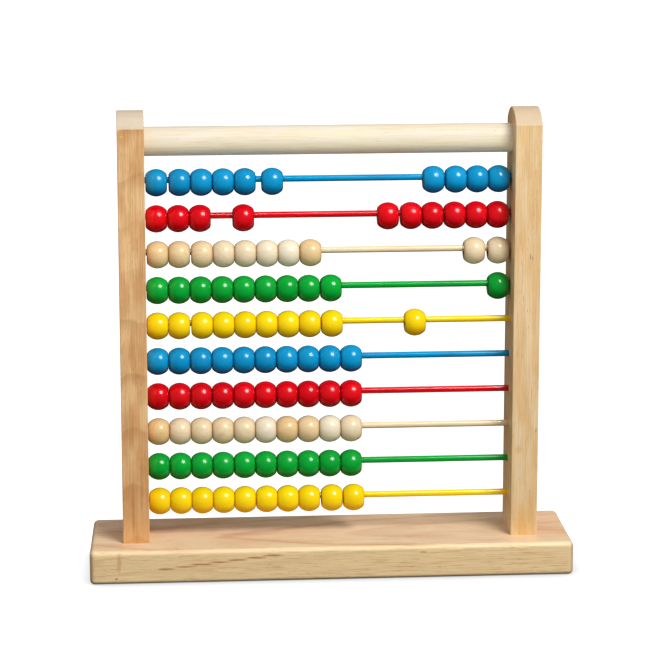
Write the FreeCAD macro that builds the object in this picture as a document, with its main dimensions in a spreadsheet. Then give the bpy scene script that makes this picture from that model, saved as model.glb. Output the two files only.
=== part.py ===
"""Wooden counting frame (abacus): ten painted rods with ten sliding beads each.

Millimetres, +Z up. The origin is the middle of the base board's underside.
X runs along the rods, and the front of the frame looks towards -Y.
"""
import FreeCAD, Part
import math
import os

import Sketcher

V = FreeCAD.Vector

# Driving dimensions. Each name becomes an alias in the spreadsheet.
SIZES = {
    "base_width": 306.0,
    "base_depth": 76.6,
    "base_height": 21.3,
    "base_left_end_skew": 2.4,
    "base_corner_round": 3.5,
    "base_top_round": 3.0,
    "base_bottom_round": 2.5,
    "upright_gap": 230.0,
    "upright_width": 16.8,
    "upright_depth": 40.0,
    "frame_height": 294.2,
    "crown_rise": 9.0,
    "upright_edge_round": 0.6,
    "dowel_diameter": 18.3,
    "dowel_height": 274.8,
    "dowel_socket_depth": 9.0,
    "rod_diameter": 4.0,
    "rod_socket_depth": 8.0,
    "lowest_rod_height": 44.9,
    "row_spacing": 22.83,
    "socket_clearance": 0.1,
    "rod_end_chamfer": 0.4,
    "bead_diameter": 17.2,
    "bead_length": 13.5,
    "bead_bore": 7.5,
    "bead_edge_round": 2.5,
    "bead_clearance": 0.1,
    "screw_spacing": 22.0,
    "screw_length": 38.0,
    "screw_shank_diameter": 4.0,
    "screw_head_diameter": 8.0,
    "screw_recess": 0.6,
    "screw_hole_clearance": 0.4,
    "pilot_spare_depth": 1.0,
    "cross_slot_width": 1.0,
    "cross_slot_span": 4.4,
    "cross_slot_depth": 1.6,
}

ROW_COUNT = 10
BEADS_PER_ROW = 10
SAME_LENGTH = 0.01  # mm; lengths closer than this count as equal when edges are picked

# How the beads of one row stand, top row first: groups counted inwards from the left upright, then
# groups counted inwards from the right upright. A group is (beads in it, free gap before it in mm).
PACKED_ROW = (((5, 0.0), (3, 0.0), (1, 0.0), (1, 0.0)), ())
ROWS = (
    ("blue", ((1, 0.5), (4, 0.8), (1, 3.5)), ((3, 1.1), (1, 0.5))),
    ("red", ((3, 0.3), (1, 13.5)), ((3, 1.6), (2, 0.4), (1, 0.9))),
    ("natural", ((2, 0.7), (5, 0.6), (1, 0.2)), ((1, 1.0), (1, 1.7))),
    ("green", ((5, 0.3), (2, 0.1), (1, 0.0), (1, 0.3)), ((1, 0.8),)),
    ("yellow", ((2, 0.2), (5, 0.8), (1, 0.0), (1, 0.4), (1, 39.1)), ()),
    ("blue",) + PACKED_ROW,
    ("red",) + PACKED_ROW,
    ("natural",) + PACKED_ROW,
    ("green",) + PACKED_ROW,
    ("yellow", ((5, 0.2), (3, 0.2), (1, 0.9), (1, 0.4)), ()),
)

doc = FreeCAD.newDocument("CountingFrame")
sheet = doc.addObject("Spreadsheet::Sheet", "Sizes")
for line_number, (alias, value) in enumerate(SIZES.items(), start=1):
    sheet.set(f"A{line_number}", alias)
    sheet.set(f"B{line_number}", str(value))
    sheet.setAlias(f"B{line_number}", alias)
doc.recompute()

sub_parts = []


# ---------------------------------------------------------------- helpers
def new_body(label):
    """A PartDesign body whose label names its file."""
    body = doc.addObject("PartDesign::Body", label)
    body.Label = label
    sub_parts.append(body)
    return body


def origin_feature(body, role):
    return next(item for item in body.Origin.OriginFeatures if item.Role == role)


def new_sketch(body, plane, name):
    sketch = body.newObject("Sketcher::SketchObject", name)
    sketch.AttachmentSupport = (origin_feature(body, plane), [""])
    sketch.MapMode = "FlatFace"
    return sketch


def join_ends(sketch, lines):
    """Close a loop of lines and arcs, each ending where the next begins."""
    for line, following in zip(lines, lines[1:] + lines[:1]):
        sketch.addConstraint(Sketcher.Constraint("Coincident", line, 2, following, 1))


def drive(sketch, name, expression, *constraint):
    """Add a dimension and bind it to the spreadsheet."""
    index = sketch.addConstraint(Sketcher.Constraint(*constraint))
    sketch.renameConstraint(index, name)
    sketch.setExpression(f"Constraints.{name}", expression)


def bind(item, **expressions):
    """Bind an object's properties to the spreadsheet."""
    for name, expression in expressions.items():
        item.setExpression(name, expression)


def place(body, x="0", y="0", z="0"):
    body.setExpression(".Placement.Base.x", x)
    body.setExpression(".Placement.Base.y", y)
    body.setExpression(".Placement.Base.z", z)


def pad(body, sketch, length, name="Pad", backwards=False):
    feature = body.newObject("PartDesign::Pad", name)
    feature.Profile = sketch
    feature.Reversed = backwards
    bind(feature, Length=length)
    doc.recompute()
    return feature


def revolve(body, sketch, axis, name="Turning"):
    feature = body.newObject("PartDesign::Revolution", name)
    feature.Profile = sketch
    feature.ReferenceAxis = (sketch, [axis])
    feature.Angle = 360.0
    doc.recompute()
    return feature


def dress(body, kind, base, wanted, name, **expressions):
    """Fillet or chamfer every edge of base that wanted(edge) picks."""
    edges = [f"Edge{number}" for number, edge in enumerate(base.Shape.Edges, start=1) if wanted(edge)]
    if not edges:
        raise RuntimeError(f"{body.Label}: no edge found for {name}")
    feature = body.newObject(f"PartDesign::{kind}", name)
    feature.Base = (base, edges)
    bind(feature, **expressions)
    doc.recompute()
    return feature


def pocket(body, sketch, depth, name, backwards):
    """Cut a pocket and make sure that it removed material."""
    before = body.Shape.Volume
    feature = body.newObject("PartDesign::Pocket", name)
    feature.Profile = sketch
    feature.Reversed = backwards
    bind(feature, Length=depth)
    doc.recompute()
    if feature.Shape.Volume >= before:
        raise RuntimeError(f"{body.Label}: {name} cuts nothing")
    return feature


def line_pattern(body, name, role, length, count):
    """A linear pattern along one of the body's own axes, not yet told what it repeats."""
    pattern = body.newObject("PartDesign::LinearPattern", name)
    pattern.Direction = (origin_feature(body, role), [""])
    pattern.Occurrences = count
    bind(pattern, Length=length)
    return pattern


def repeat_whole(body, role, length, count):
    """Repeat the whole body so far as separate solids in a line."""
    body.AllowCompound = True
    pattern = line_pattern(body, f"Repeat{role[0]}", role, length, count)
    pattern.TransformMode = "Whole shape"
    body.Tip = pattern
    doc.recompute()


# ---------------------------------------------------------------- frame
def make_base_board():
    """Solid board with rounded edges and four countersunk screw holes from below.

    Its left end is cut a little out of square, so the back edge is shorter than the front edge.
    """
    body = new_body("base_board")
    outline = new_sketch(body, "XY_Plane", "BaseOutline")
    half_width = SIZES["base_width"] / 2
    half_depth = SIZES["base_depth"] / 2
    skew = SIZES["base_left_end_skew"]
    corners = [V(-half_width, -half_depth), V(half_width, -half_depth),
               V(half_width, half_depth), V(skew - half_width, half_depth)]
    for start, end in zip(corners, corners[1:] + corners[:1]):
        outline.addGeometry(Part.LineSegment(start, end))
    join_ends(outline, [0, 1, 2, 3])
    for index, direction in enumerate(("Horizontal", "Vertical", "Horizontal")):
        outline.addConstraint(Sketcher.Constraint(direction, index))
    outline.addConstraint(Sketcher.Constraint("Symmetric", 0, 1, 1, 2, -1, 1))
    drive(outline, "width", "Sizes.base_width", "DistanceX", 0, 1, 0, 2, SIZES["base_width"])
    drive(outline, "depth", "Sizes.base_depth", "DistanceY", 1, 1, 1, 2, SIZES["base_depth"])
    drive(outline, "left_skew", "Sizes.base_left_end_skew", "DistanceX", 0, 1, 3, 1, skew)
    board = pad(body, outline, "Sizes.base_height")

    def is_upright_edge(edge):
        return edge.BoundBox.ZLength > SIZES["base_height"] / 2

    def is_in_level(height):
        return lambda edge: abs(edge.BoundBox.ZMin - height) + abs(edge.BoundBox.ZMax - height) < SAME_LENGTH

    corners_done = dress(body, "Fillet", board, is_upright_edge, "CornerRound",
                         Radius="Sizes.base_corner_round")
    top_done = dress(body, "Fillet", corners_done, is_in_level(SIZES["base_height"]), "TopRound",
                     Radius="Sizes.base_top_round")
    dress(body, "Fillet", top_done, is_in_level(0.0), "BottomRound", Radius="Sizes.base_bottom_round")

    shank_holes = screw_hole_sketch(body)
    drilled = pocket(body, shank_holes, "Sizes.base_height", "ShankHole", backwards=True)

    def is_mouth(edge):
        return is_in_level(0.0)(edge) and edge.BoundBox.XLength < 2 * SIZES["screw_shank_diameter"]

    dress(body, "Chamfer", drilled, is_mouth, "Countersink",
          Size="(Sizes.screw_head_diameter - Sizes.screw_shank_diameter) / 2 + Sizes.screw_recess")
    place(body)


def screw_hole_sketch(body):
    """Four shank holes under the feet of the uprights."""
    sketch = new_sketch(body, "XY_Plane", "ShankHoles")
    radius = "(Sizes.screw_shank_diameter + Sizes.screw_hole_clearance) / 2"
    across = SIZES["upright_gap"] / 2 + SIZES["upright_width"] / 2
    along = SIZES["screw_spacing"] / 2
    spots = [(side, end) for side in (-1, 1) for end in (-1, 1)]
    for index, (side, end) in enumerate(spots):
        centre = V(side * across, end * along)
        sketch.addGeometry(Part.Circle(centre, V(0, 0, 1), SIZES["screw_shank_diameter"] / 2))
        drive(sketch, f"radius_{index}", radius, "Radius", index, SIZES["screw_shank_diameter"] / 2)
        drive(sketch, f"across_{index}", f"{side} * (Sizes.upright_gap + Sizes.upright_width) / 2",
              "DistanceX", -1, 1, index, 3, centre.x)
        drive(sketch, f"along_{index}", f"{end} * Sizes.screw_spacing / 2",
              "DistanceY", -1, 1, index, 3, centre.y)
    return sketch


def make_upright(label, is_left):
    """Upright with a crowned top, blind sockets for the rods and the dowel, and screw pilot holes.

    The body's own YZ plane is the inner face; the wood stands on the outer side of it, and its own
    zero height is the top of the base board.
    """
    body = new_body(label)
    profile = new_sketch(body, "YZ_Plane", "UprightProfile")
    half_depth = SIZES["upright_depth"] / 2
    rise = SIZES["crown_rise"]
    top = SIZES["frame_height"] - SIZES["base_height"]
    shoulder = top - rise
    crown_radius = (half_depth ** 2 + rise ** 2) / (2 * rise)
    half_angle = math.asin(half_depth / crown_radius)
    crown = Part.Circle(V(0, top - crown_radius), V(0, 0, 1), crown_radius)
    profile.addGeometry(Part.LineSegment(V(-half_depth, 0), V(half_depth, 0)))
    profile.addGeometry(Part.LineSegment(V(half_depth, 0), V(half_depth, shoulder)))
    profile.addGeometry(Part.ArcOfCircle(crown, math.pi / 2 - half_angle, math.pi / 2 + half_angle))
    profile.addGeometry(Part.LineSegment(V(-half_depth, shoulder), V(-half_depth, 0)))
    join_ends(profile, [0, 1, 2, 3])
    profile.addConstraint(Sketcher.Constraint("Vertical", 1))
    profile.addConstraint(Sketcher.Constraint("Vertical", 3))
    profile.addConstraint(Sketcher.Constraint("Symmetric", 0, 1, 0, 2, -1, 1))
    profile.addConstraint(Sketcher.Constraint("PointOnObject", 2, 3, -2))
    drive(profile, "depth", "Sizes.upright_depth", "DistanceX", 0, 1, 0, 2, SIZES["upright_depth"])
    drive(profile, "shoulder", "Sizes.frame_height - Sizes.base_height - Sizes.crown_rise",
          "DistanceY", 1, 1, 1, 2, shoulder)
    drive(profile, "crown", "(Sizes.upright_depth ^ 2 / 4 + Sizes.crown_rise ^ 2) / (2 * Sizes.crown_rise)",
          "Radius", 2, crown_radius)
    board = pad(body, profile, "Sizes.upright_width", backwards=is_left)

    def is_above_foot(edge):
        return edge.BoundBox.ZMax > SIZES["upright_edge_round"]

    dress(body, "Fillet", board, is_above_foot, "EdgeRound", Radius="Sizes.upright_edge_round")

    rod_spot = new_sketch(body, "YZ_Plane", "RodSocketOutline")
    socket_circle(rod_spot, "Sizes.rod_diameter", "Sizes.lowest_rod_height", SIZES["lowest_rod_height"])
    rod_socket = pocket(body, rod_spot, "Sizes.rod_socket_depth", "RodSocket", backwards=not is_left)
    sockets = line_pattern(body, "RodSockets", "Z_Axis", f"Sizes.row_spacing * {ROW_COUNT - 1}", ROW_COUNT)
    sockets.Originals = [rod_socket]
    body.Tip = sockets
    doc.recompute()

    dowel_spot = new_sketch(body, "YZ_Plane", "DowelSocketOutline")
    socket_circle(dowel_spot, "Sizes.dowel_diameter", "Sizes.dowel_height", SIZES["dowel_height"])
    pocket(body, dowel_spot, "Sizes.dowel_socket_depth", "DowelSocket", backwards=not is_left)

    pilots = new_sketch(body, "XY_Plane", "PilotHoles")
    side = -1 if is_left else 1
    for index, end in enumerate((-1, 1)):
        centre = V(side * SIZES["upright_width"] / 2, end * SIZES["screw_spacing"] / 2)
        pilots.addGeometry(Part.Circle(centre, V(0, 0, 1), SIZES["screw_shank_diameter"] / 2))
        drive(pilots, f"radius_{index}", "(Sizes.screw_shank_diameter + Sizes.socket_clearance) / 2",
              "Radius", index, SIZES["screw_shank_diameter"] / 2)
        drive(pilots, f"across_{index}", f"{side} * Sizes.upright_width / 2",
              "DistanceX", -1, 1, index, 3, centre.x)
        drive(pilots, f"along_{index}", f"{end} * Sizes.screw_spacing / 2",
              "DistanceY", -1, 1, index, 3, centre.y)
    screw_reach = "Sizes.screw_recess + Sizes.screw_length - Sizes.base_height"
    pocket(body, pilots, f"{screw_reach} + Sizes.pilot_spare_depth", "PilotHole", backwards=True)
    place(body, x=f"{side} * Sizes.upright_gap / 2", z="Sizes.base_height")


def socket_circle(sketch, diameter, height, guess):
    """A socket mouth on the upright's middle line; the height is given from the floor."""
    floor_drop = SIZES["base_height"]
    centre = V(0, guess - floor_drop)
    sketch.addGeometry(Part.Circle(centre, V(0, 0, 1), SIZES["rod_diameter"]))
    sketch.addConstraint(Sketcher.Constraint("PointOnObject", 0, 3, -2))
    drive(sketch, "mouth", f"({diameter} + Sizes.socket_clearance) / 2", "Radius", 0, SIZES["rod_diameter"])
    drive(sketch, "height", f"{height} - Sizes.base_height", "DistanceY", -1, 1, 0, 3, centre.y)


def make_round_bar(label, diameter, socket_depth, height):
    """A round bar between the uprights; its ends stop just short of the socket floors."""
    body = new_body(label)
    section = new_sketch(body, "YZ_Plane", "BarSection")
    section.addGeometry(Part.Circle(V(0, 0), V(0, 0, 1), SIZES["rod_diameter"]))
    section.addConstraint(Sketcher.Constraint("Coincident", 0, 3, -1, 1))
    drive(section, "radius", f"{diameter} / 2", "Radius", 0, SIZES["rod_diameter"])
    reach = f"({socket_depth} - Sizes.socket_clearance)"
    bar = pad(body, section, f"Sizes.upright_gap + 2 * {reach}")
    dress(body, "Chamfer", bar, lambda edge: edge.Curve.TypeId == "Part::GeomCircle", "EndChamfer",
          Size="Sizes.rod_end_chamfer")
    place(body, x=f"-Sizes.upright_gap / 2 - {reach}", z=height)


def make_screws():
    """Four countersunk cross-head wood screws, driven up through the base into the uprights.

    The profile is turned about the body's own Z axis: flat head below, cone, plain shank, point.
    """
    body = new_body("upright_screws")
    profile = new_sketch(body, "XZ_Plane", "ScrewProfile")
    head = SIZES["screw_head_diameter"] / 2
    shank = SIZES["screw_shank_diameter"] / 2
    length = SIZES["screw_length"]
    cone_top = head - shank
    point_start = length - 2 * shank
    outline = [V(0, 0), V(head, 0), V(shank, cone_top), V(shank, point_start), V(0, length)]
    for start, end in zip(outline, outline[1:] + outline[:1]):
        profile.addGeometry(Part.LineSegment(start, end))
    join_ends(profile, [0, 1, 2, 3, 4])
    profile.addConstraint(Sketcher.Constraint("Coincident", 0, 1, -1, 1))
    profile.addConstraint(Sketcher.Constraint("Horizontal", 0))
    profile.addConstraint(Sketcher.Constraint("Vertical", 2))
    profile.addConstraint(Sketcher.Constraint("Vertical", 4))
    drive(profile, "head", "Sizes.screw_head_diameter / 2", "DistanceX", 0, 1, 0, 2, head)
    drive(profile, "shank", "Sizes.screw_shank_diameter / 2", "DistanceX", -1, 1, 1, 2, shank)
    drive(profile, "cone", "(Sizes.screw_head_diameter - Sizes.screw_shank_diameter) / 2",
          "DistanceY", -1, 1, 1, 2, cone_top)
    drive(profile, "point", "Sizes.screw_length - Sizes.screw_shank_diameter",
          "DistanceY", -1, 1, 2, 2, point_start)
    drive(profile, "length", "Sizes.screw_length", "DistanceY", -1, 1, 3, 2, length)
    revolve(body, profile, "V_Axis")

    for name, along_x in (("CrossSlotX", True), ("CrossSlotY", False)):
        slot = new_sketch(body, "XY_Plane", name)
        long_side = SIZES["cross_slot_span"] / 2
        short_side = SIZES["cross_slot_width"] / 2
        half_x, half_y = (long_side, short_side) if along_x else (short_side, long_side)
        corners = [V(-half_x, -half_y), V(half_x, -half_y), V(half_x, half_y), V(-half_x, half_y)]
        for start, end in zip(corners, corners[1:] + corners[:1]):
            slot.addGeometry(Part.LineSegment(start, end))
        join_ends(slot, [0, 1, 2, 3])
        for index, direction in enumerate(("Horizontal", "Vertical", "Horizontal", "Vertical")):
            slot.addConstraint(Sketcher.Constraint(direction, index))
        slot.addConstraint(Sketcher.Constraint("Symmetric", 0, 1, 1, 2, -1, 1))
        x_size, y_size = ("span", "width") if along_x else ("width", "span")
        drive(slot, "x_size", f"Sizes.cross_slot_{x_size}", "DistanceX", 0, 1, 0, 2, 2 * half_x)
        drive(slot, "y_size", f"Sizes.cross_slot_{y_size}", "DistanceY", 1, 1, 1, 2, 2 * half_y)
        pocket(body, slot, "Sizes.cross_slot_depth", f"{name}Cut", backwards=True)

    repeat_whole(body, "X_Axis", "Sizes.upright_gap + Sizes.upright_width", 2)
    repeat_whole(body, "Y_Axis", "Sizes.screw_spacing", 2)
    place(body, x="-(Sizes.upright_gap + Sizes.upright_width) / 2", y="-Sizes.screw_spacing / 2",
          z="Sizes.screw_recess")


# ---------------------------------------------------------------- beads
def make_bead_group(label, count, x, height):
    """A run of touching beads: each a ball cut flat at both ends, with a wide bore along X."""
    body = new_body(label)
    profile = new_sketch(body, "XY_Plane", "BeadProfile")
    ball = SIZES["bead_diameter"] / 2
    half_length = SIZES["bead_length"] / 2
    bore = SIZES["bead_bore"] / 2
    rim = math.sqrt(ball ** 2 - half_length ** 2)
    rim_angle = math.atan2(rim, half_length)
    profile.addGeometry(Part.LineSegment(V(-half_length, bore), V(half_length, bore)))
    profile.addGeometry(Part.LineSegment(V(half_length, bore), V(half_length, rim)))
    profile.addGeometry(Part.ArcOfCircle(Part.Circle(V(0, 0), V(0, 0, 1), ball),
                                         rim_angle, math.pi - rim_angle))
    profile.addGeometry(Part.LineSegment(V(-half_length, rim), V(-half_length, bore)))
    join_ends(profile, [0, 1, 2, 3])
    profile.addConstraint(Sketcher.Constraint("Vertical", 1))
    profile.addConstraint(Sketcher.Constraint("Vertical", 3))
    profile.addConstraint(Sketcher.Constraint("Symmetric", 0, 1, 0, 2, -2))
    profile.addConstraint(Sketcher.Constraint("Coincident", 2, 3, -1, 1))
    drive(profile, "ball", "Sizes.bead_diameter / 2", "Radius", 2, ball)
    drive(profile, "length", "Sizes.bead_length", "DistanceX", 0, 1, 0, 2, SIZES["bead_length"])
    drive(profile, "bore", "Sizes.bead_bore / 2", "DistanceY", -1, 1, 0, 1, bore)
    bead = revolve(body, profile, "H_Axis")

    def is_rim(edge):
        return edge.Curve.TypeId == "Part::GeomCircle" and abs(edge.Curve.Radius - rim) < SAME_LENGTH

    dress(body, "Fillet", bead, is_rim, "RimRound", Radius="Sizes.bead_edge_round")
    if count > 1:
        repeat_whole(body, "X_Axis", f"{count - 1} * (Sizes.bead_length + Sizes.bead_clearance)", count)
    place(body, x=x, z=height)


def make_row(row_index, colour, from_left, from_right):
    """One row: the rod, and its ten beads hanging from it in the groups that they stand in."""
    row = f"row_{row_index + 1:02d}_{colour}"
    rows_above_lowest = ROW_COUNT - 1 - row_index
    height = f"Sizes.lowest_rod_height + {rows_above_lowest} * Sizes.row_spacing"
    make_round_bar(f"{row}_rod", "Sizes.rod_diameter", "Sizes.rod_socket_depth", height)

    bead_drop = "(Sizes.bead_bore - Sizes.rod_diameter) / 2 - Sizes.bead_clearance"
    bead_height = f"{height} - ({bead_drop})"
    cell = "(Sizes.bead_length + Sizes.bead_clearance)"

    beads_placed = 0
    gap_used = 0.0
    for count, gap in from_left:
        gap_used += gap
        first_centre = f"-Sizes.upright_gap / 2 + {gap_used} + ({beads_placed} + 0.5) * {cell}"
        make_bead_group(bead_label(row, beads_placed + 1, count), count, first_centre, bead_height)
        beads_placed += count

    beads_left = BEADS_PER_ROW
    gap_used = 0.0
    for count, gap in from_right:
        gap_used += gap
        from_wall = BEADS_PER_ROW - beads_left + count - 0.5
        first_centre = f"Sizes.upright_gap / 2 - {gap_used} - {from_wall} * {cell}"
        make_bead_group(bead_label(row, beads_left - count + 1, count), count, first_centre, bead_height)
        beads_left -= count
    if beads_placed != beads_left:
        raise RuntimeError(f"{row} does not hold {BEADS_PER_ROW} beads")


def bead_label(row, first, count):
    if count == 1:
        return f"{row}_bead_{first}"
    return f"{row}_beads_{first}_to_{first + count - 1}"


# ---------------------------------------------------------------- build, check and write
make_base_board()
make_upright("left_upright", is_left=True)
make_upright("right_upright", is_left=False)
make_round_bar("top_dowel", "Sizes.dowel_diameter", "Sizes.dowel_socket_depth", "Sizes.dowel_height")
make_screws()
for row_index, (colour, from_left, from_right) in enumerate(ROWS):
    make_row(row_index, colour, from_left, from_right)
doc.recompute()

for item in doc.Objects:
    if "Invalid" in item.State or "Error" in item.State:
        raise RuntimeError(f"{item.Label} did not rebuild: {item.State}")
for part in sub_parts:
    if part.Shape.isNull() or not part.Shape.isValid():
        raise RuntimeError(f"{part.Label} has no sound shape")

os.makedirs("parts", exist_ok=True)
for part in sub_parts:
    part.Shape.exportStep(f"parts/{part.Label}.step")
print(f"{len(sub_parts)} sub-parts, {sum(len(part.Shape.Solids) for part in sub_parts)} solids")
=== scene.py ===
"""Looks of the wooden counting frame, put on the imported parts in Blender.

Every part keeps its CAD shape and gets a procedural material. Lengths inside the materials are in
millimetres in the part's own coordinates, so a pattern stays with its part when the part moves.
"""
import math
from typing import NamedTuple

import bpy
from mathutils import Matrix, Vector


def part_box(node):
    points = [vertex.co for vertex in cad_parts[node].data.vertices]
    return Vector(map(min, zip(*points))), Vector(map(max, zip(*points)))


MM = 0.001
BEAD_GAP = 0.1  # mm of air between neighbouring beads of one run

# The viewpoint, in metres and radians, fitted to the straight edges of the frame.
CAMERA_PLACE = (-0.12930, -1.75838, 0.53489)
CAMERA_YAW = 0.07569  # radians from +Y towards +X
CAMERA_PITCH = 0.21499  # radians below the horizon
CAMERA_LENS = 153.18  # mm
SENSOR_WIDTH = 36.0  # mm
NEAREST_SEEN = 0.05
FURTHEST_SEEN = 100.0

# The studio, in metres and watts.
LIGHTS_AIM_AT = (0.0, 0.0, 0.15)
KEY_PLACE = (0.82, -1.32, 1.85)
KEY_SIZE = 1.10
KEY_POWER = 47.0
ROD_LIGHT_PLACE = (0.15, -1.29, 1.95)
ROD_LIGHT_SIZE = (0.80, 0.45)
ROD_LIGHT_POWER = 14.0
WORLD_STRENGTH = 0.60
WORLD_IN_REFLECTIONS = 0.03
FLOOR_HALF_SIZE = 20.0
FLOOR_BOUNCE_BELOW = 0.06  # how much light the floor throws up from under the object
FLOOR_BOUNCE_IN_FRONT = 0.95  # and from further in front of it
FLOOR_BOUNCE_RISES = (-20.0, -450.0)  # mm along Y, between which the first grows to the second
FLOOR_BOUNCE_IN_REFLECTIONS = 0.04
FLOOR_WHITE = 1.22  # how bright the camera sees the floor
FLOOR_SHADE_REACH = 0.016  # metres; how near the object the floor gets darker
FLOOR_SHADE_DEPTH = 0.72
WHITE = (1.0, 1.0, 1.0, 1.0)
BLACK = (0.0, 0.0, 0.0)


# ---------------------------------------------------------------- node helpers
class Tree:
    """A material's node tree, with short calls for the nodes that this script uses."""

    def __init__(self, material):
        material.use_nodes = True
        self.material = material
        self.nodes = material.node_tree.nodes
        self.links = material.node_tree.links
        self.nodes.clear()

    def add(self, kind, inputs=None, **settings):
        """A node whose inputs are given by name or number, each a value or another node's socket."""
        node = self.nodes.new("ShaderNode" + kind)
        for name, value in settings.items():
            setattr(node, name, value)
        for name, value in (inputs or {}).items():
            if isinstance(value, bpy.types.NodeSocket):
                self.links.new(value, node.inputs[name])
            else:
                node.inputs[name].default_value = value
        return node

    def math(self, operation, *values):
        return self.add("Math", dict(enumerate(values)), operation=operation).outputs[0]

    def vector(self, operation, *values):
        return self.add("VectorMath", dict(enumerate(values)), operation=operation).outputs[0]

    def length(self, value):
        return self.add("VectorMath", {0: value}, operation="LENGTH").outputs["Value"]

    def split(self, value):
        node = self.add("SeparateXYZ", {0: value})
        return node.outputs[0], node.outputs[1], node.outputs[2]

    def join(self, x=0.0, y=0.0, z=0.0):
        return self.add("CombineXYZ", {0: x, 1: y, 2: z}).outputs[0]

    def step(self, value, start, end, low=0.0, high=1.0):
        """A smooth change from low to high while value goes from start to end."""
        node = self.add("MapRange", {0: value, 1: start, 2: end, 3: low, 4: high})
        node.interpolation_type = "SMOOTHSTEP"
        return node.outputs[0]

    def mix(self, share, first, second, blend="MIX"):
        inputs = {0: share, 6: as_colour(first), 7: as_colour(second)}
        return self.add("Mix", inputs, data_type="RGBA", blend_type=blend).outputs[2]

    def noise(self, place, size, detail=2.0, rough=0.5):
        """Smooth noise from 0 to 1 whose features have this size in mm, one number for each axis."""
        scaled = self.vector("DIVIDE", place, size)
        node = self.add("TexNoise", {"Vector": scaled, "Scale": 1.0, "Detail": detail, "Roughness": rough})
        return node.outputs[0]

    def pick(self, number, values):
        """The value in place number of a list, the first being number 1."""
        share = self.math("DIVIDE", self.math("SUBTRACT", number, 0.5), float(len(values)))
        node = self.add("ValToRGB", {0: share})
        stops = node.color_ramp
        stops.interpolation = "CONSTANT"
        stops.elements.remove(stops.elements[1])
        stops.elements[0].color = (values[0],) * 3 + (1.0,)
        for place, value in enumerate(values[1:], start=1):
            stops.elements.new(place / len(values)).color = (value,) * 3 + (1.0,)
        return node.outputs[0]

    def random(self, place):
        """A number and a colour that are the same wherever place is the same."""
        node = self.add("TexWhiteNoise", {"Vector": place}, noise_dimensions="3D")
        return node.outputs[0], node.outputs[1]

    def object_value(self, name):
        return self.add("Attribute", attribute_type="OBJECT", attribute_name=name).outputs["Fac"]

    def millimetres(self):
        coords = self.add("TexCoord").outputs["Object"]
        return self.vector("MULTIPLY", coords, (1000.0, 1000.0, 1000.0))

    def normal(self):
        return self.add("TexCoord").outputs["Normal"]

    def bump(self, height, depth, onto=None):
        """A bump whose full height is depth mm."""
        inputs = {"Height": height, "Distance": depth * MM, "Strength": 1.0}
        if onto is not None:
            inputs["Normal"] = onto
        return self.add("Bump", inputs).outputs[0]

    def finish(self, **inputs):
        """The Principled surface, whose inputs are named with _ for spaces."""
        named = {name.replace("_", " "): value for name, value in inputs.items()}
        shader = self.add("BsdfPrincipled", named)
        self.add("OutputMaterial", {"Surface": shader.outputs[0]})
        return self.material


def as_colour(value):
    if isinstance(value, tuple) and len(value) == 3:
        return value + (1.0,)
    return value


def new_tree(name):
    return Tree(bpy.data.materials.new(name))


def srgb(red, green, blue):
    """A linear colour from the 0 to 255 numbers that a colour picker shows."""
    def linear(part):
        share = part / 255.0
        if share <= 0.04045:
            return share / 12.92
        return ((share + 0.055) / 1.055) ** 2.4
    return linear(red), linear(green), linear(blue)


# ---------------------------------------------------------------- wood
class Timber(NamedTuple):
    """How one board was cut from its log, and its colours. Lengths are in mm, shares from 0 to 1."""
    grain: str  # the axis the grain runs along
    seed: float
    heart: tuple  # the middle of the growth rings, across the grain and up from the piece's low corner
    lean: tuple  # how far that middle wanders sideways for each mm along the grain
    ring_width: float
    ring_show: float
    wander: tuple  # how far the rings stray: over the whole board, and from one small patch to the next
    fibre_show: float
    pale: tuple
    warm: tuple
    late: tuple  # the dark line that ends each ring
    patch_size: tuple
    dash: tuple  # colour of the short dark dashes
    dash_size: tuple
    dash_show: float
    pore: tuple
    pore_show: float
    side: tuple  # colour of the layer that shows on the narrow faces
    side_show: float
    side_rings: float  # how much of the rings stays on those faces
    end: tuple  # colour where the surface cuts across the grain
    edge: tuple  # colour of the sanded edges: partly wear, partly a painted highlight
    edge_show: float


BASE = Timber(
    grain="X", seed=3.0, heart=(32.3, -34.0), lean=(0.010, 0.085), ring_width=8.5, ring_show=0.55,
    wander=(10.0, 2.4), fibre_show=0.10,
    pale=srgb(236, 208, 170), warm=srgb(228, 192, 154), late=srgb(202, 150, 110),
    patch_size=(70.0, 16.0, 16.0),
    dash=srgb(206, 138, 82), dash_size=(14.0, 0.45, 0.45), dash_show=0.62,
    pore=srgb(150, 92, 54), pore_show=0.40,
    side=srgb(250, 220, 163), side_show=0.80, side_rings=0.30, end=srgb(214, 180, 134),
    edge=srgb(240, 218, 182), edge_show=0.35)

LEFT_UPRIGHT = Timber(
    grain="Z", seed=11.0, heart=(10.8, 36.0), lean=(0.006, 0.24), ring_width=8.0, ring_show=0.38,
    wander=(9.0, 1.2), fibre_show=0.20,
    pale=srgb(238, 194, 138), warm=srgb(216, 162, 104), late=srgb(182, 124, 70),
    patch_size=(26.0, 9.0, 9.0),
    dash=srgb(192, 134, 78), dash_size=(16.0, 0.8, 0.8), dash_show=0.50,
    pore=srgb(146, 96, 56), pore_show=0.55,
    side=srgb(226, 178, 120), side_show=0.10, side_rings=1.0, end=srgb(203, 192, 173),
    edge=srgb(240, 206, 156), edge_show=0.30)

RIGHT_UPRIGHT = Timber(
    grain="Z", seed=23.0, heart=(-81.0, 60.0), lean=(-0.030, 0.024), ring_width=12.0, ring_show=0.22,
    wander=(10.0, 2.4), fibre_show=0.12,
    pale=srgb(236, 206, 160), warm=srgb(226, 186, 130), late=srgb(206, 160, 104),
    patch_size=(34.0, 6.0, 6.0),
    dash=srgb(222, 166, 92), dash_size=(16.0, 1.0, 1.0), dash_show=0.50,
    pore=srgb(146, 102, 62), pore_show=0.65,
    side=srgb(230, 196, 146), side_show=0.10, side_rings=1.0, end=srgb(197, 177, 148),
    edge=srgb(244, 218, 174), edge_show=0.30)

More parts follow.
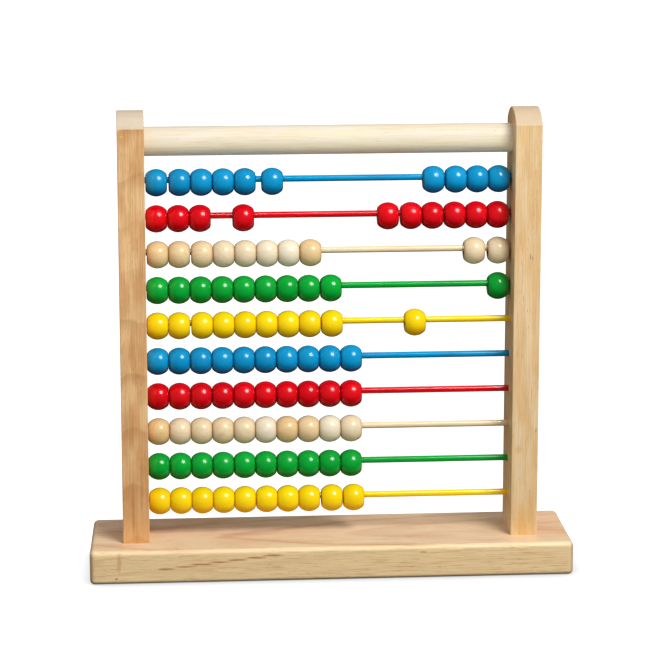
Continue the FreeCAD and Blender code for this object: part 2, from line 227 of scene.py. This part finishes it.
# On the round dowel, pale and side are painted light too: the top, where the light falls most, gets the
# duller pale colour, and the front and back get the lighter side colour.
DOWEL = Timber(
    grain="X", seed=37.0, heart=(23.13, -3.66), lean=(0.010, 0.014), ring_width=4.5, ring_show=0.25,
    wander=(10.0, 2.4), fibre_show=0.08,
    pale=srgb(216, 209, 198), warm=srgb(218, 202, 168), late=srgb(207, 182, 138),
    patch_size=(60.0, 6.0, 6.0),
    dash=srgb(224, 190, 132), dash_size=(24.0, 0.9, 0.9), dash_show=0.60,
    pore=srgb(196, 158, 104), pore_show=0.20,
    side=srgb(230, 220, 196), side_show=0.45, side_rings=1.0, end=srgb(226, 208, 176),
    edge=srgb(240, 230, 206), edge_show=0.0)


class Mark(NamedTuple):
    """A small blemish in the wood, at a place in mm from the low corner of its piece or row of beads."""
    place: tuple
    size: tuple
    colour: tuple
    show: float


def streak(start, end, count, size, colour, show):
    """Marks in a line, which together look like one long thin flaw."""
    return tuple(Mark(tuple(Vector(start).lerp(Vector(end), number / (count - 1))), size, colour, show)
                 for number in range(count))


BASE_MARKS = (
    Mark((16.5, 0.3, 3.6), (1.3, 3.0, 0.8), srgb(112, 66, 40), 0.70),
    Mark((18.3, 0.3, 14.0), (1.8, 3.0, 7.0), srgb(196, 138, 84), 0.45),
    Mark((209.9, 0.3, 17.0), (3.0, 3.0, 0.9), srgb(178, 106, 66), 0.50),
) + streak((47.9, 0.3, 9.5), (114.9, 0.3, 17.0), 7, (8.0, 4.0, 0.8), srgb(178, 104, 58), 0.75)
LEFT_UPRIGHT_MARKS = (
    Mark((2.8, 0.0, 259.3), (1.1, 2.0, 0.6), srgb(240, 206, 30), 0.90),
    Mark((8.8, 0.0, 4.7), (20.0, 12.0, 70.0), srgb(206, 142, 78), 0.42),
    Mark((6.8, 0.0, 22.7), (1.4, 6.0, 22.0), srgb(176, 108, 52), 0.40),
    Mark((12.2, 0.0, 38.7), (0.9, 6.0, 28.0), srgb(176, 108, 52), 0.35),
)
RIGHT_UPRIGHT_MARKS = (
    Mark((4.6, 0.0, 255.7), (1.5, 3.0, 7.0), srgb(238, 186, 96), 0.55),
    Mark((4.0, 0.0, 240.7), (1.0, 3.0, 5.0), srgb(238, 186, 96), 0.45),
    Mark((10.2, 0.0, 180.7), (0.35, 2.0, 2.4), srgb(96, 66, 40), 0.70),
    Mark((11.6, 0.0, 180.1), (0.35, 2.0, 1.8), srgb(96, 66, 40), 0.70),
    Mark((15.8, 0.0, 228.7), (1.2, 3.0, 40.0), srgb(226, 172, 104), 0.35),
    Mark((4.4, 0.0, 56.7), (3.0, 3.0, 3.0), srgb(214, 150, 74), 0.35),
    Mark((9.0, 0.0, 6.7), (9.0, 3.0, 16.0), srgb(222, 168, 90), 0.40),
)
# Painted bounce light: a paler cream for the dowel's underside, so that it looks lit from below.
DOWEL_PAINTED_BOUNCE_LIGHT = srgb(255, 242, 204)
DOWEL_MARKS = (
    Mark((227.5, 0.13, 14.54), (1.2, 3.0, 0.7), srgb(206, 142, 70), 0.70),
    Mark((12.7, 0.13, 16.14), (1.5, 3.0, 0.8), srgb(206, 142, 70), 0.70),
)

BEAD_MARKS = {
    3: (),
    8: (
        Mark((37.25, 1.1, 14.88), (0.8, 2.0, 0.8), srgb(186, 92, 48), 0.80),
        Mark((46.35, 0.6, 8.08), (2.6, 4.0, 2.0), srgb(204, 152, 104), 0.34),
        Mark((101.05, 0.6, 6.38), (2.4, 4.0, 1.6), srgb(204, 152, 104), 0.30),
    ),
}

# Sizes in mm of the patterns in every wood: along the grain, across it and up.
SLOW_WANDER = (160.0, 40.0, 40.0)
FAST_WOBBLE = (40.0, 8.0, 8.0)
DASH_PATCH = (45.0, 12.0, 12.0)
FIBRE_SIZE = (26.0, 0.45, 0.45)
PORE_SIZE = (4.5, 0.50, 0.50)
PORE_PATCH = (30.0, 10.0, 10.0)
WEAR_PATCH = (14.0, 14.0, 14.0)
GLOSS_PATCH = (18.0, 18.0, 18.0)
WOOD_RELIEF = 0.05
SEED_STEPS = (31.0, 7.0, 0.0)  # mm that a board's patterns are moved for each 1 of its seed

# A mark's outline strays by half of MARK_STRAY either way, and fades in between these two distances,
# where 1 is the mark's own size.
MARK_STRAY = 0.8
MARK_STRAY_SIZE = (4.0, 4.0, 4.0)
MARK_FADES_IN = (1.15, 0.35)

# A growth ring, from 0 at its start to 1 at its end.
RING_DARKENS = (0.40, 0.95)
RING_ENDS = (0.94, 1.0)
RING_SHARPNESS = 3.5

# Where each pattern sets in and where it is full, in the noise's own 0 to 1.
PATCH_SETS_IN = (0.34, 0.66)
DASH_SETS_IN = (0.50, 0.70)
DASH_ROOM = (0.35, 0.62)
FIBRE_SETS_IN = (0.30, 0.70)
PORE_SETS_IN = (0.66, 0.74)
PORE_ROOM = (0.45, 0.60)
WEAR_SETS_IN = (0.30, 0.65)

# How a surface faces, as a part of its normal from -1 to 1.
ROUNDED_EDGE = (0.998, 0.86)
CUT_ACROSS = (0.30, 0.60)
NARROW_FACE = (0.3, 0.9)
FACING_DOWN = (0.50, -0.40)


def grain_order(axis, x, y, z):
    """Three values reordered as (along the grain, across it, up)."""
    if axis == "X":
        return x, y, z
    return z, x, y


def low_corner(name):
    """The lowest corner of a node's box in mm."""
    return Vector(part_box(name)[0]) / MM


def growth_rings(tree, timber, corner, grain, along, across, up):
    """Darkness of each ring's last wood from 0 to 1, each ring with its own strength."""
    wander = tree.noise(grain, SLOW_WANDER, detail=1.0)
    wobble = tree.noise(grain, FAST_WOBBLE, detail=3.0)
    _, corner_across, corner_up = grain_order(timber.grain, *corner)
    side = tree.math("SUBTRACT", across, corner_across + timber.heart[0])
    side = tree.math("MULTIPLY_ADD", along, -timber.lean[0], side)
    rise = tree.math("SUBTRACT", up, corner_up + timber.heart[1])
    rise = tree.math("MULTIPLY_ADD", along, -timber.lean[1], rise)
    radius = tree.length(tree.join(side, rise, 0.0))
    radius = tree.math("MULTIPLY_ADD", wander, timber.wander[0], radius)
    radius = tree.math("MULTIPLY_ADD", wobble, timber.wander[1], radius)
    rings = tree.math("DIVIDE", radius, timber.ring_width)
    share = tree.math("FRACT", rings)
    own, _ = tree.random(tree.join(tree.math("FLOOR", rings), timber.seed, 0.0))
    rising = tree.math("POWER", tree.step(share, *RING_DARKENS), RING_SHARPNESS)
    falling = tree.step(share, *RING_ENDS, 1.0, 0.0)
    strength = tree.math("MULTIPLY_ADD", own, 0.7, 0.3)
    return tree.math("MULTIPLY", tree.math("MULTIPLY", rising, falling), strength)


def rounded_edges(tree):
    """1 in the middle of a rounded edge and 0 on flat faces."""
    size = tree.vector("ABSOLUTE", tree.normal())
    x, y, z = tree.split(size)
    largest = tree.math("MAXIMUM", tree.math("MAXIMUM", x, y), z)
    return tree.step(largest, *ROUNDED_EDGE)


def end_grain(tree, axis):
    """1 where the surface cuts straight across the grain."""
    along, _, _ = grain_order(axis, *tree.split(tree.vector("ABSOLUTE", tree.normal())))
    return tree.step(along, *CUT_ACROSS)


def add_marks(tree, colour, place, corner, marks):
    for mark in marks:
        middle = tuple(corner + Vector(mark.place))
        offset = tree.vector("DIVIDE", tree.vector("SUBTRACT", place, middle), mark.size)
        stray = tree.noise(place, MARK_STRAY_SIZE, detail=3.0)
        stray = tree.math("MULTIPLY_ADD", stray, MARK_STRAY, -MARK_STRAY / 2)
        distance = tree.math("ADD", tree.length(offset), stray)
        share = tree.step(distance, *MARK_FADES_IN, 0.0, mark.show)
        colour = tree.mix(share, colour, mark.colour)
    return colour


def wood(node_name, timber, marks, painted_bounce_light=None):
    """Sanded wood with a thin satin lacquer: rings, dashes, fibres, pores, end grain and worn edges, with a
    painted highlight on the edges and, when given, a painted bounce light on faces that look down.
    """
    tree = new_tree(f"{node_name}_wood")
    corner = low_corner(node_name)
    place = tree.millimetres()
    along, across, up = grain_order(timber.grain, *tree.split(place))
    moved = tuple(timber.seed * step for step in SEED_STEPS)
    grain = tree.vector("ADD", tree.join(along, across, up), moved)

    late = growth_rings(tree, timber, corner, grain, along, across, up)
    patch = tree.noise(grain, timber.patch_size, detail=3.0)
    dashes = tree.noise(grain, timber.dash_size, detail=2.0, rough=0.6)
    dash_room = tree.noise(grain, DASH_PATCH, detail=2.0)
    fibre = tree.noise(grain, FIBRE_SIZE, detail=3.0, rough=0.6)
    pores = tree.noise(grain, PORE_SIZE, detail=1.0)
    pore_room = tree.noise(grain, PORE_PATCH, detail=2.0)

    colour = tree.mix(tree.step(patch, *PATCH_SETS_IN), timber.pale, timber.warm)
    # Painted bounce light: faces that look down take the given paler colour.
    if painted_bounce_light is not None:
        _, _, up_facing = tree.split(tree.normal())
        colour = tree.mix(tree.step(up_facing, *FACING_DOWN), colour, painted_bounce_light)
    _, side_facing, _ = tree.split(tree.vector("ABSOLUTE", tree.normal()))
    colour = tree.mix(tree.math("MULTIPLY", side_facing, timber.side_show), colour, timber.side)
    late = tree.math("MULTIPLY", late, tree.step(side_facing, *NARROW_FACE, 1.0, timber.side_rings))
    colour = tree.mix(tree.math("MULTIPLY", late, timber.ring_show), colour, timber.late)
    dash_room = tree.step(dash_room, *DASH_ROOM, 0.35, 1.0)
    dash = tree.math("MULTIPLY", tree.step(dashes, *DASH_SETS_IN), dash_room)
    colour = tree.mix(tree.math("MULTIPLY", dash, timber.dash_show), colour, timber.dash)
    fibre_tone = tree.step(fibre, *FIBRE_SETS_IN, 1.0 - timber.fibre_show, 1.0 + timber.fibre_show / 2)
    colour = tree.mix(1.0, colour, tree.join(fibre_tone, fibre_tone, fibre_tone), "MULTIPLY")
    pore_room = tree.step(pore_room, *PORE_ROOM, 0.15, 1.0)
    pore = tree.math("MULTIPLY", tree.step(pores, *PORE_SETS_IN), pore_room)
    colour = tree.mix(tree.math("MULTIPLY", pore, timber.pore_show), colour, timber.pore)

    cut_across = end_grain(tree, timber.grain)
    end_lines = tree.math("MULTIPLY_ADD", late, 0.14, tree.math("MULTIPLY", dash, 0.15))
    end_tone = tree.mix(end_lines, timber.end, timber.late)
    colour = tree.mix(tree.math("MULTIPLY", cut_across, 0.85), colour, end_tone)
    # The pale band on rounded edges is partly wear and partly a painted highlight.
    worn = tree.noise(place, WEAR_PATCH, detail=3.0)
    edge_wear_and_highlight = tree.math("MULTIPLY", rounded_edges(tree), tree.step(worn, *WEAR_SETS_IN, 0.45, 1.0))
    edge_wear_and_highlight = tree.math("MULTIPLY", edge_wear_and_highlight, tree.math("SUBTRACT", 1.0, cut_across))
    colour = tree.mix(tree.math("MULTIPLY", edge_wear_and_highlight, timber.edge_show), colour, timber.edge)
    colour = add_marks(tree, colour, place, corner, marks)

    height = tree.math("SUBTRACT", fibre, tree.math("MULTIPLY", pore, 1.5))
    height = tree.math("MULTIPLY_ADD", late, 0.35, height)
    gloss = tree.noise(place, GLOSS_PATCH, detail=2.0)
    roughness = tree.math("ADD", tree.step(gloss, 0.3, 0.7, 0.42, 0.54), tree.math("MULTIPLY", pore, 0.3))
    return tree.finish(
        Base_Color=colour, Roughness=roughness, Specular_IOR_Level=0.4, Coat_Weight=0.12,
        Coat_Roughness=0.35, Normal=tree.bump(height, WOOD_RELIEF))


# ---------------------------------------------------------------- beads and rods
PAINTS = {
    "blue": (srgb(0, 149, 203), srgb(0, 70, 124)),
    "red": (srgb(226, 0, 18), srgb(126, 0, 10)),
    "green": (srgb(0, 166, 52), srgb(0, 100, 30)),
    "yellow": (srgb(250, 218, 0), srgb(224, 158, 0)),
}
ROD_PAINTS = PAINTS | {"natural": (srgb(234, 216, 176), srgb(190, 160, 112))}
ROD_SHINE = {"blue": 0.25, "red": 1.0, "green": 0.40, "yellow": 0.9, "natural": 0.6}
BARE_BEAD_WOOD = srgb(214, 178, 130)
DARK_BEAD_WOOD = srgb(176, 132, 84)

# The unpainted beads: each pair goes from the palest bead to the most golden one.
BARE_BASE = (srgb(234, 226, 200), srgb(228, 197, 140))
BARE_GRAIN = (srgb(216, 200, 164), srgb(200, 156, 98))
BARE_PORE = srgb(176, 128, 82)
# Painted shade with a warm bounce tint, for the rims of unpainted beads where they touch.
WARM_RIM_SHADE = srgb(190, 132, 78)

# Distances in mm on a bead: from its own axis, and along the axis from its middle.
BORE_WALL = (4.2, 3.85)
CHIPPED_TO_BARE = (4.8, 3.95)
# The next two: where the painted shade at a bead's rim, beside its neighbour, sets in and is full.
ENAMEL_RIM_SHADE = (5.4, 6.7)
BARE_BEAD_RIM_SHADE = (4.8, 6.7)
SOCKET_SHADE_LENGTH = 3.0  # mm of rod beside an upright that has a painted shade, a little darker

# How a surface faces, from 1 (up) to -1 (down), where the painted shade on the undersides of beads and
# rods, and the fading of gloss below, set in and are full.
ENAMEL_UNDERSIDE_SHADE = (0.0, -0.95)
ROD_UNDERSIDE_SHADE = (0.0, -0.9)
GLOSS_FADES = (-0.65, 0.0)

# Sizes in mm of the patterns on beads and rods.
SEED_SPREAD = (300.0, 300.0, 300.0)
ROD_SEED = 13.0
CLOUD_SIZE = (6.0, 6.0, 6.0)
CHIP_SIZE = (1.3, 1.3, 1.3)
TURNED_GRAIN = (8.0, 0.8, 0.8)
WAVE_SIZE = (3.4, 3.4, 3.4)
GRAIN_UNDER_PAINT = (6.0, 0.9, 0.9)
CRACKLE_SIZE = (0.45, 0.45, 0.45)
HAZE_SIZE = (5.0, 5.0, 5.0)
BAND_SIZE = (14.0, 1.7, 5.0)
BARE_FIBRE_SIZE = (9.0, 0.40, 0.6)
BARE_PORE_SIZE = (2.4, 0.3, 0.3)
RUBBED_SIZE = (22.0, 2.0, 2.0)
ROD_GRAIN_SIZE = (16.0, 0.35, 0.35)
DRIP_SIZE = (7.0, 3.0, 3.0)

# Heights in mm of the relief on beads and rods.
PAINT_WAVE = 0.030
PAINT_GRAIN = 0.003
PAINT_CRACKLE = 0.030
LACQUER_WAVE = 0.035
LACQUER_GRAIN = 0.015
ROD_DRIPS = 0.012
ROD_GRAIN = 0.003

# How tan each unpainted bead is, from 0 (cream) to 1 (golden), counted from the left of its row.
BEAD_TAN = {
    3: (0.90, 0.80, 0.70, 0.45, 0.40, 0.20, 0.05, 0.90, 0.55, 0.45),
    8: (1.00, 0.45, 0.55, 0.60, 0.50, 0.10, 0.95, 0.75, 0.05, 0.40),
}


class Bead(NamedTuple):
    """Coordinates of one bead, wherever it is in its run."""
    place: object  # mm from the bead's own middle
    seeded: object  # the same, moved to a part of the noise that no other bead uses
    radius: object  # mm from the bead's own axis
    off_middle: object  # mm from the bead's middle along its axis
    number: object  # its place in the row, counted from the left
    numbers: object  # its own three random numbers from 0 to 1


def bead_coordinates(tree):
    x, y, z = tree.split(tree.millimetres())
    pitch = tree.object_value("bead_pitch")
    from_start = tree.math("SUBTRACT", x, tree.object_value("run_start"))
    index = tree.math("FLOOR", tree.math("DIVIDE", from_start, pitch))
    middle = tree.math("MULTIPLY", tree.math("ADD", index, 0.5), pitch)
    along = tree.math("SUBTRACT", from_start, middle)
    rise = tree.math("SUBTRACT", z, tree.object_value("axis_height"))
    place = tree.join(along, y, rise)
    number = tree.math("ADD", index, tree.object_value("first_bead"))
    _, numbers = tree.random(tree.join(number, tree.object_value("row"), 0.0))
    seeded = tree.vector("MULTIPLY_ADD", numbers, SEED_SPREAD, place)
    radius = tree.length(tree.join(0.0, y, rise))
    return Bead(place, seeded, radius, tree.math("ABSOLUTE", along), number, numbers)


def bore_wall(tree, bead):
    """1 inside the bore, where no paint reaches."""
    return tree.step(bead.radius, *BORE_WALL)


def painted_bead(colour):
    """Dipped gloss enamel on a turned wooden bead, chipped at the bore, with painted shade at its rims and
    on its underside.
    """
    tree = new_tree(f"bead_{colour}")
    bright, deep = PAINTS[colour]
    bead = bead_coordinates(tree)
    red, green, blue = tree.split(bead.numbers)

    paint = tree.mix(tree.step(red, 0.0, 1.0, 0.0, 0.16), bright, deep)
    cloud = tree.noise(bead.seeded, CLOUD_SIZE, detail=2.0)
    paint = tree.mix(tree.step(cloud, 0.35, 0.75, 0.0, 0.12), paint, deep)
    # Painted shade: the bead is darkened towards its rims, where it touches its neighbours.
    rim_painted_shade = tree.step(bead.off_middle, *ENAMEL_RIM_SHADE)
    paint = tree.mix(tree.math("MULTIPLY", rim_painted_shade, 0.45), paint, deep)
    _, _, up_facing = tree.split(tree.normal())
    # Painted shade: the bead's underside is darkened towards the deep paint colour.
    paint = tree.mix(tree.step(up_facing, *ENAMEL_UNDERSIDE_SHADE, 0.0, 0.85), paint, deep)

    chips = tree.noise(bead.seeded, CHIP_SIZE, detail=3.0)
    near_bore = tree.step(bead.radius, *CHIPPED_TO_BARE)
    chipped = tree.math("MULTIPLY", near_bore, tree.step(chips, 0.50, 0.58))
    bare = tree.math("MAXIMUM", bore_wall(tree, bead), chipped)
    wood_tone = tree.noise(bead.seeded, TURNED_GRAIN, detail=3.0)
    wood_colour = tree.mix(tree.step(wood_tone, 0.3, 0.7), BARE_BEAD_WOOD, DARK_BEAD_WOOD)
    surface = tree.mix(bare, paint, wood_colour)

    wave = tree.noise(bead.seeded, WAVE_SIZE, detail=1.0)
    grain_through = tree.noise(bead.seeded, GRAIN_UNDER_PAINT, detail=2.0)
    crackle = tree.noise(bead.seeded, CRACKLE_SIZE, detail=2.0)
    crackled = tree.step(green, 0.82, 0.95, 0.0, 1.0)
    normal = tree.bump(wave, PAINT_WAVE)
    normal = tree.bump(grain_through, PAINT_GRAIN, onto=normal)
    crackle = tree.math("MULTIPLY", crackle, tree.math("MULTIPLY_ADD", crackled, 0.96, 0.04))
    normal = tree.bump(crackle, PAINT_CRACKLE, onto=normal)
    haze = tree.noise(bead.seeded, HAZE_SIZE, detail=2.0)
    roughness = tree.step(haze, 0.3, 0.7, 0.34, 0.46)
    roughness = tree.math("MULTIPLY_ADD", bare, 0.4, roughness)
    gloss = tree.step(up_facing, *GLOSS_FADES, 0.10, 1.0)
    coat = tree.math("MULTIPLY", tree.math("SUBTRACT", 1.0, bare), gloss)
    return tree.finish(
        Base_Color=surface, Roughness=roughness, Specular_IOR_Level=0.02, Coat_Weight=coat,
        Coat_Roughness=tree.step(blue, 0.0, 1.0, 0.16, 0.21), Normal=normal)


def lacquered_bead(row, corner):
    """A turned wooden bead under clear gloss lacquer, each cut from its own piece of wood."""
    tree = new_tree(f"bead_natural_row_{row}")
    bead = bead_coordinates(tree)
    red, green, _ = tree.split(bead.numbers)
    turned = tree.add("VectorRotate", {"Vector": bead.place, "Angle": tree.math("MULTIPLY", red, math.tau)},
                      rotation_type="X_AXIS").outputs[0]
    leaning = tree.add("VectorRotate", {"Vector": turned, "Angle": tree.math("MULTIPLY", green, 0.7)},
                       rotation_type="Z_AXIS").outputs[0]
    grain = tree.vector("MULTIPLY_ADD", bead.numbers, SEED_SPREAD, leaning)
    bands = tree.noise(grain, BAND_SIZE, detail=2.0)
    fibre = tree.noise(grain, BARE_FIBRE_SIZE, detail=3.0)
    pores = tree.noise(grain, BARE_PORE_SIZE, detail=1.0)

    tan = tree.pick(bead.number, BEAD_TAN[row])
    golden = tree.mix(tan, *BARE_BASE)
    brown = tree.mix(tan, *BARE_GRAIN)
    colour = tree.mix(tree.step(bands, 0.38, 0.72, 0.0, 0.30), golden, brown)
    colour = tree.mix(tree.step(fibre, 0.46, 0.74, 0.0, 0.35), colour, brown)
    colour = tree.mix(tree.step(pores, 0.64, 0.74, 0.0, 0.25), colour, BARE_PORE)
    # Painted shade, warmed by bounce light between beads, towards the rims where beads touch.
    rim_painted_shade = tree.step(bead.off_middle, *BARE_BEAD_RIM_SHADE, 0.0, 0.60)
    colour = tree.mix(rim_painted_shade, colour, tree.mix(0.5, brown, WARM_RIM_SHADE))
    inside = bore_wall(tree, bead)
    colour = tree.mix(inside, colour, DARK_BEAD_WOOD)
    colour = add_marks(tree, colour, tree.millimetres(), corner, BEAD_MARKS[row])

    normal = tree.bump(tree.noise(bead.seeded, WAVE_SIZE, detail=1.0), LACQUER_WAVE)
    normal = tree.bump(fibre, LACQUER_GRAIN, onto=normal)
    roughness = tree.math("MULTIPLY_ADD", inside, 0.3, tree.step(bands, 0.3, 0.7, 0.40, 0.50))
    return tree.finish(
        Base_Color=colour, Roughness=roughness, Specular_IOR_Level=0.08,
        Coat_Weight=tree.math("MULTIPLY_ADD", inside, -0.65, 0.65), Coat_Roughness=0.22, Normal=normal)


def rod_surface(colour_name, socket):
    """Enamel or lacquer on a thin rod, rubbed dull in places where the beads run.

    It has a painted shade, a little darker, on its underside and beside the sockets, whose mouths are
    socket mm from the frame's middle.
    """
    tree = new_tree(f"rod_{colour_name}")
    bright, deep = ROD_PAINTS[colour_name]
    place = tree.millimetres()
    seeded = tree.vector("ADD", place, (0.0, 0.0, ROD_SEED))
    rubbed = tree.noise(seeded, RUBBED_SIZE, detail=3.0)
    grain = tree.noise(seeded, ROD_GRAIN_SIZE, detail=3.0)
    drips = tree.noise(seeded, DRIP_SIZE, detail=1.0)
    colour = tree.mix(tree.step(rubbed, 0.45, 0.75, 0.0, 0.28), bright, deep)
    colour = tree.mix(tree.step(grain, 0.52, 0.76, 0.0, 0.22), colour, deep)
    x, _, _ = tree.split(place)
    # Painted shade where the rod goes into an upright.
    socket_shade = tree.step(tree.math("ABSOLUTE", x), socket - SOCKET_SHADE_LENGTH, socket, 0.0, 0.5)
    colour = tree.mix(socket_shade, colour, deep)
    _, _, up_facing = tree.split(tree.normal())
    # Painted shade: the rod's underside is darkened towards the deep colour.
    colour = tree.mix(tree.step(up_facing, *ROD_UNDERSIDE_SHADE, 0.0, 0.60), colour, deep)
    normal = tree.bump(drips, ROD_DRIPS)
    normal = tree.bump(grain, ROD_GRAIN, onto=normal)
    return tree.finish(
        Base_Color=colour, Roughness=tree.step(rubbed, 0.3, 0.7, 0.24, 0.40), Specular_IOR_Level=0.05,
        Coat_Weight=ROD_SHINE[colour_name], Coat_Roughness=0.10, Normal=normal)


# ---------------------------------------------------------------- metal
ZINC = (srgb(196, 198, 196), srgb(158, 156, 148))
ZINC_PATCH = (2.5, 2.5, 2.5)
TURNING_LINES = (6.0, 6.0, 0.18)
TURNING_DEPTH = 0.010


def screw_steel():
    """Zinc-plated steel with turning marks and dull patches."""
    tree = new_tree("screw_steel")
    place = tree.millimetres()
    patch = tree.noise(place, ZINC_PATCH, detail=3.0)
    turning = tree.noise(place, TURNING_LINES, detail=1.0)
    colour = tree.mix(tree.step(patch, 0.35, 0.7), *ZINC)
    roughness = tree.step(patch, 0.3, 0.7, 0.28, 0.46)
    return tree.finish(
        Base_Color=colour, Metallic=1.0, Roughness=roughness, Normal=tree.bump(turning, TURNING_DEPTH))


# ---------------------------------------------------------------- putting the looks on
def set_material(node, material):
    for slot in node.material_slots:
        slot.material = material


def describe_beads(node, name, row):
    """Gives the node the numbers its material reads: where its run starts and how far beads are apart."""
    low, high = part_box(name)
    numbers = [int(word) for word in name.split("_")[4:] if word.isdigit()]
    first, last = numbers[0], numbers[-1]
    count = last - first + 1
    node["run_start"] = low.x / MM - BEAD_GAP / 2
    node["bead_pitch"] = ((high.x - low.x) / MM + BEAD_GAP) / count
    node["axis_height"] = (low.z + high.z) / 2 / MM
    node["first_bead"] = float(first)
    node["row"] = float(row)


def row_corner(nodes, row):
    """The low corner of the row's leftmost run of beads."""
    runs = [name for name in nodes if name.startswith(f"row_{row:02d}_") and "_bead" in name]
    return min((low_corner(name) for name in runs), key=lambda corner: corner.x)


def dress_rows(nodes):
    socket = -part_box("left_upright")[1].x / MM
    beads = {colour: painted_bead(colour) for colour in PAINTS}
    bare_beads = {row: lacquered_bead(row, row_corner(nodes, row)) for row in BEAD_TAN}
    rods = {colour: rod_surface(colour, socket) for colour in ROD_PAINTS}
    for name, node in nodes.items():
        if not name.startswith("row_"):
            continue
        _, row, colour, kind = name.split("_")[:4]
        if kind == "rod":
            set_material(node, rods[colour])
            continue
        set_material(node, beads[colour] if colour in beads else bare_beads[int(row)])
        describe_beads(node, name, int(row))


def dress_frame(nodes):
    boards = {
        "base_board": (BASE, BASE_MARKS),
        "left_upright": (LEFT_UPRIGHT, LEFT_UPRIGHT_MARKS),
        "right_upright": (RIGHT_UPRIGHT, RIGHT_UPRIGHT_MARKS),
        "top_dowel": (DOWEL, DOWEL_MARKS, DOWEL_PAINTED_BOUNCE_LIGHT),
    }
    for name, look in boards.items():
        set_material(nodes[name], wood(name, *look))
    set_material(nodes["upright_screws"], screw_steel())


# ---------------------------------------------------------------- studio
def make_floor():
    """Paper-white floor with a soft dark seam where the object stands, throwing little light back up."""
    half = FLOOR_HALF_SIZE
    corners = [(-half, -half, 0.0), (half, -half, 0.0), (half, half, 0.0), (-half, half, 0.0)]
    mesh = bpy.data.meshes.new("studio_floor")
    mesh.from_pydata(corners, [], [(0, 1, 2, 3)])
    floor = bpy.data.objects.new("studio_floor", mesh)
    bpy.context.scene.collection.objects.link(floor)
    tree = new_tree("studio_floor")
    path = tree.add("LightPath")
    seen = path.outputs["Is Camera Ray"]
    _, y, _ = tree.split(tree.millimetres())
    bounce = tree.step(y, *FLOOR_BOUNCE_RISES, FLOOR_BOUNCE_BELOW, FLOOR_BOUNCE_IN_FRONT)
    bounce = tree.mix(path.outputs["Is Glossy Ray"], tree.join(bounce, bounce, bounce),
                      (FLOOR_BOUNCE_IN_REFLECTIONS,) * 3)
    openness = tree.add("AmbientOcclusion", {"Distance": FLOOR_SHADE_REACH}).outputs["AO"]
    shade = tree.math("MULTIPLY_ADD", openness, FLOOR_SHADE_DEPTH, 1.0 - FLOOR_SHADE_DEPTH)
    glow = tree.math("MULTIPLY", tree.math("MULTIPLY", shade, FLOOR_WHITE), seen)
    mesh.materials.append(tree.finish(
        Base_Color=tree.mix(seen, bounce, BLACK), Roughness=1.0, Specular_IOR_Level=0.0,
        Emission_Color=WHITE, Emission_Strength=glow))
    return floor


def make_world():
    """White surroundings, dimmer in reflections so that gloss paint keeps its colour."""
    world = bpy.data.worlds.new("studio")
    bpy.context.scene.world = world
    tree = Tree(world)
    path = tree.add("LightPath")
    glossy = path.outputs["Is Glossy Ray"]
    camera = path.outputs["Is Camera Ray"]
    strength = tree.math("MULTIPLY_ADD", glossy, WORLD_IN_REFLECTIONS - WORLD_STRENGTH, WORLD_STRENGTH)
    strength = tree.math("MULTIPLY_ADD", camera, 1.0 - WORLD_STRENGTH, strength)
    background = tree.add("Background", {"Color": WHITE, "Strength": strength})
    tree.add("OutputWorld", {"Surface": background.outputs[0]})


def make_soft_box(name, place, power, shape, width, height=None):
    light = bpy.data.lights.new(name, "AREA")
    light.shape = shape
    light.size = width
    if height is not None:
        light.size_y = height
    light.energy = power
    lamp = bpy.data.objects.new(name, light)
    lamp.location = place
    bpy.context.scene.collection.objects.link(lamp)
    direction = Vector(LIGHTS_AIM_AT) - lamp.location
    lamp.rotation_euler = direction.to_track_quat("-Z", "Y").to_euler()
    return lamp


def make_key_light(floor):
    """The main lamp, up and to the right of the camera.

    It skips the floor, so no hard shadow lies there.
    """
    lamp = make_soft_box("key", KEY_PLACE, KEY_POWER, "DISK", KEY_SIZE)
    skipped = bpy.data.collections.new("not_lit_by_key")
    skipped.objects.link(floor)
    lamp.light_linking.receiver_collection = skipped
    skipped.collection_objects[0].light_linking.link_state = "EXCLUDE"


def make_rod_light(nodes):
    """A second lamp, over the camera, that only gives the rods their bright line."""
    lamp = make_soft_box("rod_line", ROD_LIGHT_PLACE, ROD_LIGHT_POWER, "RECTANGLE", *ROD_LIGHT_SIZE)
    lamp.visible_diffuse = False
    rods = bpy.data.collections.new("lit_by_rod_line")
    for name, node in nodes.items():
        if name.endswith("_rod"):
            rods.objects.link(node)
    lamp.light_linking.receiver_collection = rods


def make_camera():
    data = bpy.data.cameras.new("photograph")
    data.lens = CAMERA_LENS
    data.sensor_width = SENSOR_WIDTH
    data.clip_start = NEAREST_SEEN
    data.clip_end = FURTHEST_SEEN
    camera = bpy.data.objects.new("photograph", data)
    camera.location = CAMERA_PLACE
    camera.rotation_euler = (math.pi / 2 - CAMERA_PITCH, 0.0, -CAMERA_YAW)
    bpy.context.scene.collection.objects.link(camera)
    bpy.context.scene.camera = camera


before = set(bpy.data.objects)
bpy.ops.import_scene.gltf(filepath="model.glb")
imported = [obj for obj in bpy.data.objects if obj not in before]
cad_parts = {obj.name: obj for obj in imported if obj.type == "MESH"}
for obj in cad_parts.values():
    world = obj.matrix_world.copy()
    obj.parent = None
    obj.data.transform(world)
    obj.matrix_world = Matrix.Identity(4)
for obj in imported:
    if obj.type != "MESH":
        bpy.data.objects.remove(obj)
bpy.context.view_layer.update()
bpy.context.scene.view_settings.view_transform = "Standard"
dress_frame(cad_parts)
dress_rows(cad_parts)
studio_floor = make_floor()
make_world()
make_key_light(studio_floor)
make_rod_light(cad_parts)
make_camera()
